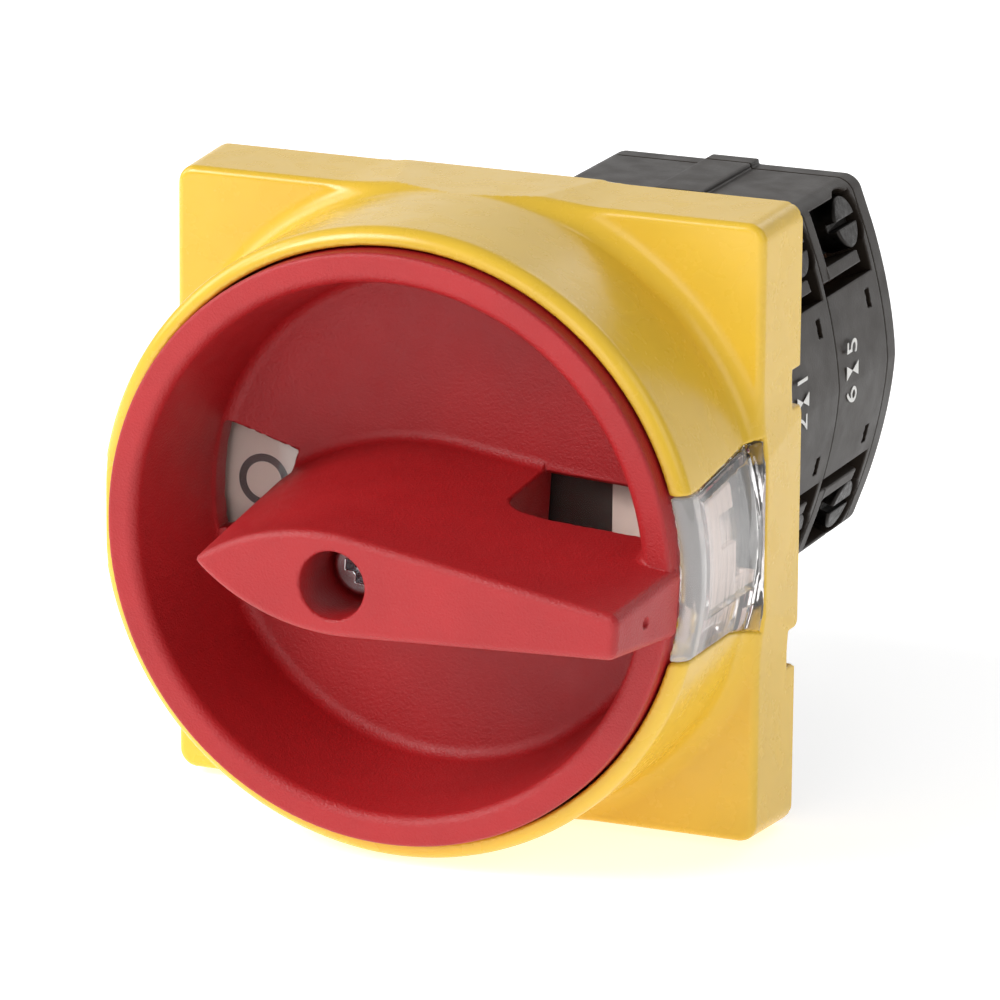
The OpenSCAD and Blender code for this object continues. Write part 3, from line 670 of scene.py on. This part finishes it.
def cross_head(x, y, z):
    head = meet(np.hypot(x, y) - 3.2, slab(z, -2.6, 0.0), 0.7)
    shank = np.maximum(np.hypot(x, y) - 1.9, slab(z, -14.4, -2.0))
    taper = 0.28 * (-z)
    arm = np.minimum(
        np.maximum(np.abs(x) - 0.55 + 0.1 * taper, np.abs(y) - 1.75 + taper),
        np.maximum(np.abs(y) - 0.55 + 0.1 * taper, np.abs(x) - 1.75 + taper),
    )
    recess = np.maximum(np.minimum(arm, np.hypot(x, y) - 1.0 + taper), -1.7 - z)
    return cut(np.minimum(head, shank), recess, 0.1)


def copies(name, mesh, places):
    """One mesh made of copies of another at the given places."""
    base = mesh.copy()
    parts = []
    for place in places:
        part = base.copy()
        part.transform(place)
        if place.determinant() < 0:
            part.flip_normals()
        parts.append(part)
    objects = []
    for part in parts:
        obj = bpy.data.objects.new(name, part)
        bpy.context.collection.objects.link(obj)
        objects.append(obj)
    with bpy.context.temp_override(active_object=objects[0], selected_editable_objects=objects):
        bpy.ops.object.join()
    joined = objects[0].data
    bpy.data.objects.remove(objects[0])
    joined.name = name
    return joined


def terminal_places():
    """Frames of the eight terminal screws: Z out of the slanted face, X along the shaft."""
    places = []
    for y0 in UNIT_Y.values():
        for sx in (-1, 1):
            for sz in (-1, 1):
                out = Vector((sx * SLANT_N[0], 0, sz * SLANT_N[1]))
                down = Vector((sx * SLANT_T[0], 0, sz * SLANT_T[1]))
                backwards = Vector((0, 1, 0))
                along = backwards if down.cross(backwards).dot(out) < 0 else -backwards
                across = out.cross(along)
                corner = Vector((sx * TOP_HALF_W, y0 + SCREW_DY, sz * BODY_HALF_H))
                place = Matrix((across, along, out)).transposed().to_4x4()
                place.translation = (corner + down * SCREW_S) * MM
                places.append(place)
    return places


# ------------------------------------------------------------------ building the pieces

AT_REST = Matrix.Rotation(REST_TURN, 4, "Y")


def build_front():
    span = PLATE_HALF + 1.2
    low, high = (-span, -29.2, -span), (span, 0.4, span)
    mesh = field_mesh("front_plate_shell", front_plate_field, low, high, 0.34, 0.32)
    piece("front_plate_shell", mesh, YELLOW, "base", "yellow_moulding", "front_plate")
    mesh = field_mesh("handle_moulding", handle_field, (-31.8, -44.4, -31.8), (32.6, -1.6, 31.8), 0.32, 0.3)
    piece("handle_moulding", mesh, RED, "rotor", "red_moulding", "handle", turn=AT_REST)
    low, high = (-31.8, -29.2, -31.8), (34, -9.3, 31.8)
    mesh = field_mesh("clear_cover_moulding", clear_cover_field, low, high, 0.3, 0.35)
    piece("clear_cover_moulding", mesh, CLEAR, "base", "clear_polycarbonate", "clear_cover")
    mesh = field_mesh("legend_plate", legend_field, (-31, -23.8, -31), (32.4, -9.6, 31), 0.2, 0.15)
    piece("legend_plate", mesh, LEGEND_WHITE_WITH_PAINTED_RED_BOUNCE, "base", "legend_white", "legend_disc")
    mesh = field_mesh("off_ring", ring_mark, (-25.6, -11.0, -3.2), (-19.0, -10.6, 3.8), 0.06, 0.5)
    piece("off_ring", mesh, PRINT_DARK, "base", "black_moulding")
    mesh = field_mesh("on_bar", bar_mark, (-0.7, -11.0, 19.0), (0.7, -10.6, 25.6), 0.06, 0.5)
    piece("on_bar", mesh, PRINT_DARK, "base", "black_moulding")


def build_body():
    wide, tall = SIDE_HALF_W + 0.5, BODY_HALF_H + 1.0
    def block(name, field, low_y, high_y, node):
        mesh = field_mesh(name, field, (-wide, low_y - 0.3, -tall), (wide, high_y + 0.3, tall), 0.22, 0.3)
        piece(name, mesh, BLACK, "base", "black_moulding", node)
    block("latch_housing_moulding", latch_housing_field, LATCH_Y, UNIT_Y["front"], "latch_housing")
    for unit, y0 in UNIT_Y.items():
        field = contact_housing_field(y0)
        block(f"contact_unit_{unit}", field, y0, y0 + UNIT_LENGTH, f"contact_housing_{unit}")
    block("rear_cover_moulding", rear_cover_field, COVER_Y, BODY_END, "rear_cover")
    low, high = (-23, 4.2, -23), (23, LATCH_Y + 0.3, 23)
    mesh = field_mesh("mounting_flange_moulding", mounting_flange_field, low, high, 0.3, 0.3)
    piece("mounting_flange_moulding", mesh, BLACK, "base", "black_moulding", "mounting_flange")


def build_screws():
    mesh = field_mesh("terminal_screw", slotted_head, (-3.1, -3.1, -8.3), (3.1, 3.1, 0), 0.12, 0.25)
    joined = copies("terminal_screw_set", mesh, terminal_places())
    piece("terminal_screw_set", joined, BLACK_STEEL, "base", "black_steel", "terminal_screws")
    mesh = field_mesh("grip_screw", cross_head, (-3.4, -3.4, -14.6), (3.4, 3.4, 0.2), 0.11, 0.3)
    towards_front = Matrix.Translation((0, -36.4 * MM, 0)) @ Matrix.Rotation(math.radians(90), 4, "X")
    piece("grip_screw", mesh, BRIGHT, "rotor", "screw_steel", "handle_screw", turn=AT_REST @ towards_front)


def build_return_springs():
    """Smooth-shaded copies of the return springs between the housing wall and the moving contact carrier."""
    for unit in UNIT_Y:
        for side, label in ((1, "right"), (-1, "left")):
            node = f"return_spring_{unit}_{label}"
            mesh = frame["nodes"][node].data.copy()
            mesh.shade_smooth()
            obj = piece(f"{node}_coil", mesh, SPRING, None, "spring_steel", node)
            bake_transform(obj)


def paint_cad_nodes():
    """Gives the CAD nodes that stay their procedural materials."""
    by_slot = {
        "yellow_moulding": YELLOW, "red_moulding": RED, "black_moulding": BLACK, "legend_white": LEGEND_WHITE_WITH_PAINTED_RED_BOUNCE,
        "white_moulding": CREAM, "gasket_rubber": RUBBER, "clear_polycarbonate": CLEAR, "zinc_steel": ZINC,
        "screw_steel": BRIGHT, "shaft_steel": SHAFT, "spring_steel": SPRING, "contact_copper": COPPER,
        "black_steel": BLACK_STEEL,
    }
    for part in frame["record"]["subparts"]:
        node = frame["nodes"][part["node"]]
        for holder in node.material_slots:
            holder.material = by_slot[part["material_slot"]]


# ------------------------------------------------------------------ printing on the side faces

def side_text(name, text, side, y, z):
    """A flat printed mark on a side face, read upwards; glyphs stand with their tops to the front."""
    curve = bpy.data.curves.new(name, "FONT")
    curve.body = text
    curve.size = 4.4
    curve.align_x, curve.align_y = "CENTER", "CENTER"
    curve.extrude = 0.03
    holder = bpy.data.objects.new(name, curve)
    bpy.context.collection.objects.link(holder)
    bpy.context.view_layer.update()
    mesh = bpy.data.meshes.new_from_object(holder.evaluated_get(bpy.context.evaluated_depsgraph_get()))
    bpy.data.objects.remove(holder)
    return place_print(name, mesh, side, y, z)


def hourglass(name, side, y, z):
    shape = [(-0.85, 1.8), (0.85, 1.8), (0.0, 0.0), (-0.85, -1.8), (0.85, -1.8)]
    points = [(x, v, h) for h in (-0.03, 0.03) for x, v in shape]
    mesh = bpy.data.meshes.new(name)
    top, low = (0, 1, 2), (2, 4, 3)
    faces = [top[::-1], low, tuple(i + 5 for i in top), tuple(i + 5 for i in low[::-1])]
    for loop in (top, low):
        for a, b in zip(loop, loop[1:] + loop[:1]):
            faces.append((a, b, b + 5, a + 5))
    mesh.from_pydata(points, [], faces)
    return place_print(name, mesh, side, y, z)


def place_print(name, mesh, side, y, z):
    glyph_right = Vector((0, 0, 1))
    glyph_up = Vector((0, -1, 0)) if side > 0 else Vector((0, 1, 0))
    outward = Vector((side, 0, 0))
    squeeze = Matrix.Diagonal((0.95, 1, 1, 1))
    frame_matrix = Matrix((glyph_right, glyph_up, outward)).transposed().to_4x4()
    face_x = SIDE_HALF_W + 0.15 - z ** 2 / 300.0 + 0.01
    frame_matrix.translation = (side * face_x, y, z)
    mesh.transform(Matrix.Diagonal((MM, MM, MM, 1)) @ frame_matrix @ squeeze)
    return piece(name, mesh, PRINT_WHITE, "base", "legend_white")


PRINT_Z = {"front": (3.9, 1.45, -1.0), "rear": (4.2, 1.4, -1.4)}


def build_prints():
    pairs = {("front", 1): "12", ("rear", 1): "56", ("front", -1): "34", ("rear", -1): "78"}
    for (unit, side), (upper, lower) in pairs.items():
        y = UNIT_Y[unit] + 4.1
        label = "right" if side > 0 else "left"
        high, mid, low = PRINT_Z[unit]
        side_text(f"digit_{upper}", upper, side, y, high)
        hourglass(f"hourglass_{unit}_{label}", side, y, mid)
        side_text(f"digit_{lower}", lower, side, y, low)


# ------------------------------------------------------------------ floor, light and camera

def build_stage():
    floor_mesh = bpy.data.meshes.new("floor")
    far = 12.0
    corners = [(-far, -far, 0), (far, -far, 0), (far, far, 0), (-far, far, 0)]
    floor_mesh.from_pydata(corners, [], [(0, 1, 2, 3)])
    floor = bpy.data.objects.new("floor", floor_mesh)
    bpy.context.collection.objects.link(floor)
    floor.location.z = cad_box[0][2] - 0.0002
    mat, _, shader, _ = material("pale_floor", (0.93, 0.93, 0.93), 0.6)
    shader.inputs["Emission Color"].default_value = (1, 1, 1, 1)
    shader.inputs["Emission Strength"].default_value = 0.6
    floor_mesh.materials.append(mat)


def area_light(name, place, target, size, power, colour=(1, 1, 1)):
    lamp = bpy.data.lights.new(name, "AREA")
    lamp.shape = "RECTANGLE"
    lamp.size, lamp.size_y = size
    lamp.energy = power
    lamp.color = colour
    obj = bpy.data.objects.new(name, lamp)
    bpy.context.collection.objects.link(obj)
    obj.location = place
    obj.rotation_euler = (Vector(target) - Vector(place)).to_track_quat("-Z", "Y").to_euler()


def build_lights():
    world = bpy.data.worlds.new("studio")
    bpy.context.scene.world = world
    world.use_nodes = True
    world.node_tree.nodes["Background"].inputs["Color"].default_value = (1, 1, 1, 1)
    world.node_tree.nodes["Background"].inputs["Strength"].default_value = 0.2
    area_light("key_upper_left", (-0.7, -0.75, 0.75), (0, 0, 0), (0.6, 0.5), 10.6)
    area_light("fill_left", (-0.95, -0.1, 0.5), (0, 0, 0), (0.5, 0.6), 3.3)
    area_light("fill_front", (0.05, -1.0, 0.35), (0, 0, 0), (0.5, 0.5), 1.7)
    area_light("fill_right", (0.9, -0.2, 0.45), (0, 0, 0), (0.5, 0.6), 1.4)
    area_light("top_back", (0.2, 0.8, 0.7), (0, 0, 0), (0.4, 0.4), 1.0)
    area_light("backdrop", (0, 1.6, 0.45), (0, 0, 0.2), (3.0, 1.4), 10.0)


VIEW_ANGLES = (22.736, 15.591, 0.495)
VIEW_LENS = 273.05
VIEW_PLACE = (0.29801, -0.7114, 0.21304)


def build_camera():
    """Camera to the right of the front and above it, with a slight roll."""
    azimuth, elevation, roll = (math.radians(v) for v in VIEW_ANGLES)
    level = math.cos(elevation)
    back = Vector((math.sin(azimuth) * level, -math.cos(azimuth) * level, math.sin(elevation)))
    right = (-back).cross(Vector((0, 0, 1))).normalized()
    up = back.cross(right).normalized()
    rolled_right = right * math.cos(roll) + up * math.sin(roll)
    rolled_up = -right * math.sin(roll) + up * math.cos(roll)
    camera = bpy.data.cameras.new("view")
    camera.sensor_width = 36.0
    camera.lens = VIEW_LENS
    camera.clip_start = 0.05
    camera.clip_end = 50.0
    obj = bpy.data.objects.new("view", camera)
    bpy.context.collection.objects.link(obj)
    matrix = Matrix((rolled_right, rolled_up, back)).transposed().to_4x4()
    matrix.translation = VIEW_PLACE
    obj.matrix_world = matrix
    bpy.context.scene.camera = obj


bpy.context.scene.view_settings.view_transform = "Standard"
paint_cad_nodes()
build_front()
build_body()
build_screws()
build_return_springs()
build_prints()
build_stage()
build_lights()
build_camera()
